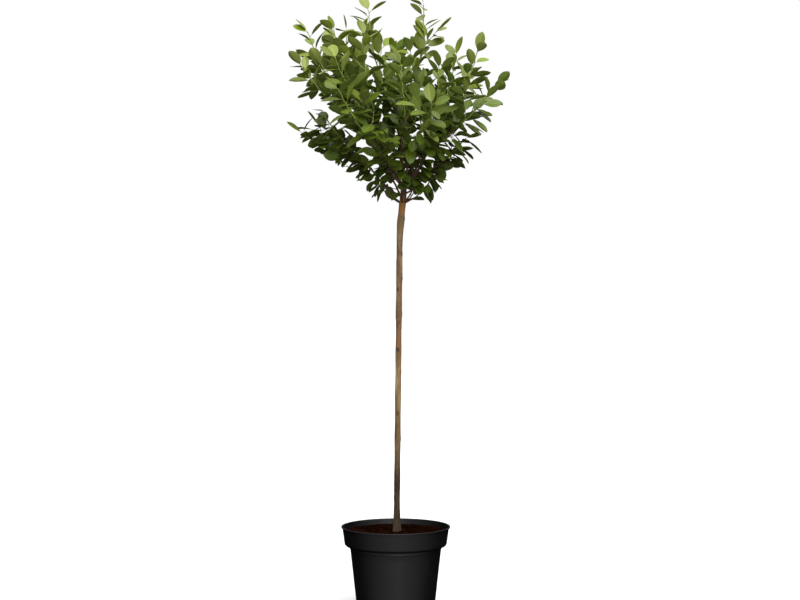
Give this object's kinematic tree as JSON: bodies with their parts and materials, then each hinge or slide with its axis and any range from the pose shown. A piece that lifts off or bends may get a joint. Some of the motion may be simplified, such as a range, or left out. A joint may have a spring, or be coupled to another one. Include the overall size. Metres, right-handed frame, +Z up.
{
  "type": "potted dwarf sour cherry",
  "caption": "Small grafted cherry tree on one slim bare stem, with a fan of upright leafy whips, standing in a round black nursery pot of compost.",
  "frame": {"origin": "middle of the pot's flat underside, on the surface it stands on", "axes": "+Z up along the stem; -Y towards the side that the picture shows; +X to its right"},
  "size_m": [0.5696, 0.5674, 1.6197],
  "materials": {
    "pot_plastic": "moulded, satin",
    "compost": "damp, crumbly",
    "stem_bark": "matt bark",
    "bough_bark": "smooth young bark",
    "leaves": "satin leaf"
  },
  "bodies": {
    "root": {"pot": "pot_plastic", "soil": "compost", "stem": "stem_bark", "bough_left": "bough_bark", "bough_left_low": "bough_bark", "bough_left_back": "bough_bark", "bough_left_front": "bough_bark", "bough_top": "bough_bark", "bough_back": "bough_bark", "bough_back_low": "bough_bark", "bough_right_back": "bough_bark", "bough_right": "bough_bark", "bough_right_low": "bough_bark", "bough_right_front": "bough_bark", "bough_front": "bough_bark", "bough_front_left": "bough_bark", "leaves_left": "leaves", "leaves_left_low": "leaves", "leaves_left_back": "leaves", "leaves_left_front": "leaves", "leaves_top": "leaves", "leaves_back": "leaves", "leaves_back_low": "leaves", "leaves_right_back": "leaves", "leaves_right": "leaves", "leaves_right_low": "leaves", "leaves_right_front": "leaves", "leaves_front": "leaves", "leaves_front_left": "leaves", "leaves_spur_front": "leaves", "leaves_spur_left": "leaves", "leaves_spur_right": "leaves", "leaves_spur_front_right": "leaves", "leaves_spur_back_left": "leaves", "leaves_spur_back_right": "leaves"}
  },
  "joints": []
}
